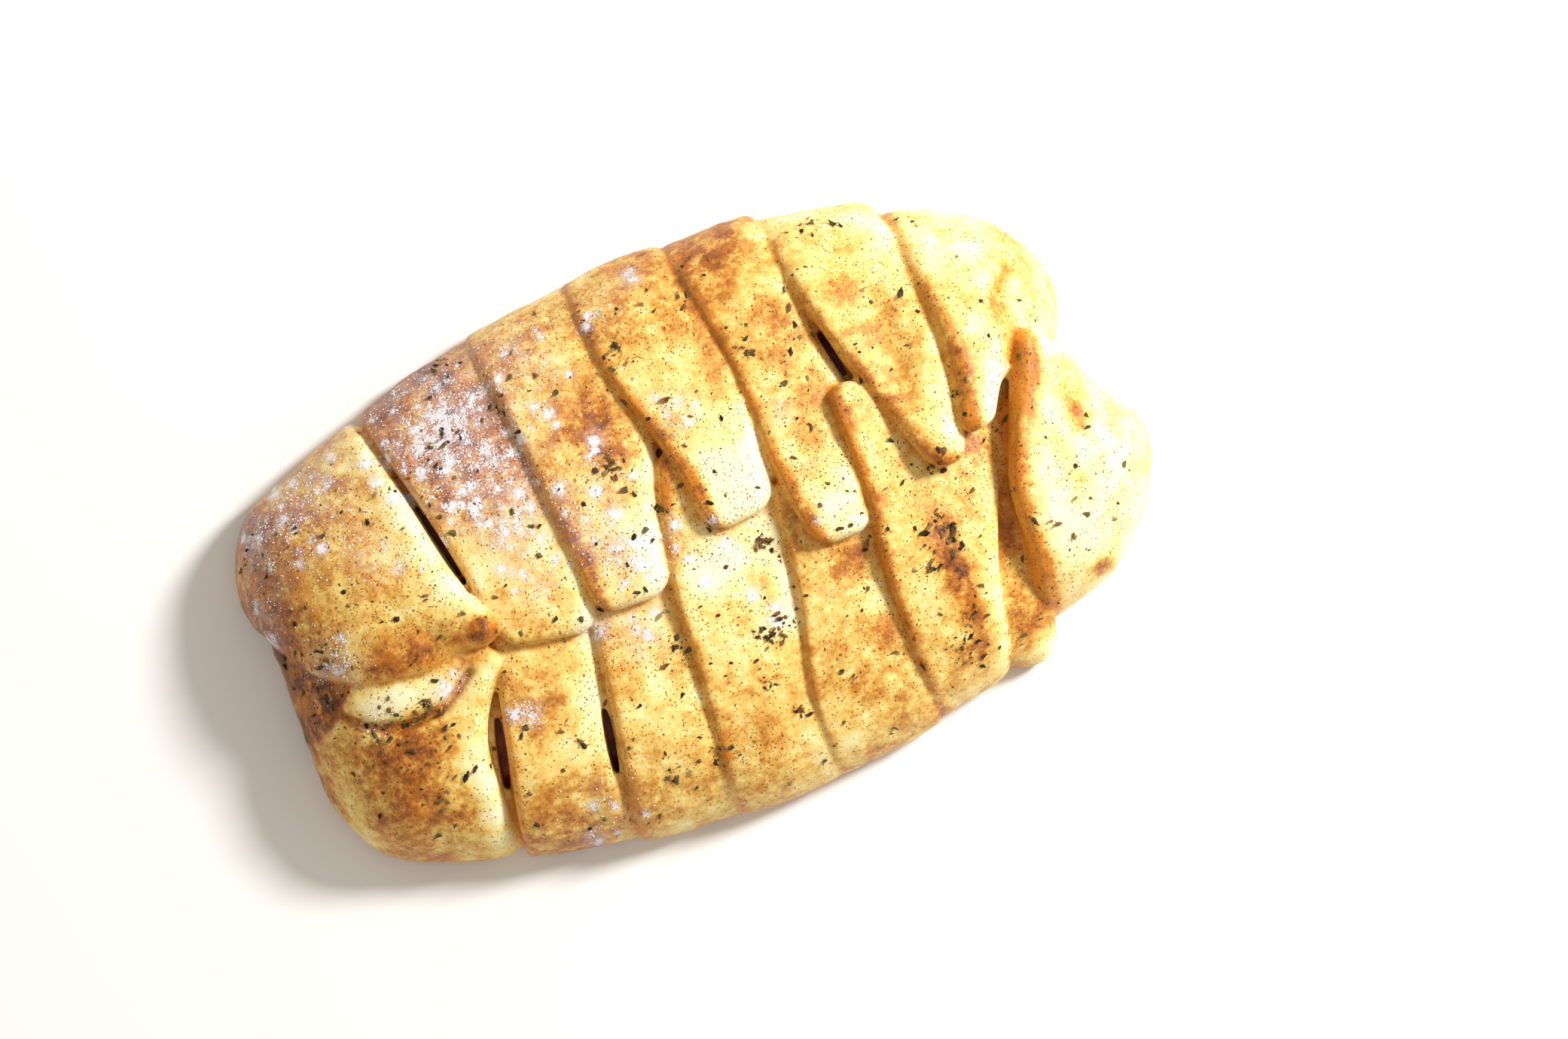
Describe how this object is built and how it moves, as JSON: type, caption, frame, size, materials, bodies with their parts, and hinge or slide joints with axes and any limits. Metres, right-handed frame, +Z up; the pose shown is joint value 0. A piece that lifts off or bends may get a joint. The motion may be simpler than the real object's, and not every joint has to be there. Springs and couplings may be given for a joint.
{
  "type": "braided filled bread loaf",
  "caption": "Flat oval loaf of filled bread dough: strips folded in from both sides over a filling, with a flap at each end, herbs and a dusting of flour.",
  "frame": {"origin": "centre of the loaf's bounding box in plan, on the plane that it stands on", "axes": "+X along the loaf, towards the end that one flap closes alone; +Y across it, towards the side whose strips lie on top; +Z up"},
  "size_m": [0.2478, 0.155, 0.0441],
  "materials": {
    "crust": "baked dough, satin, toasted along the strips' left edges",
    "filling": "moist dark red-brown filling"
  },
  "bodies": {
    "root": {"loaf": "crust", "filling": "filling"}
  },
  "joints": []
}
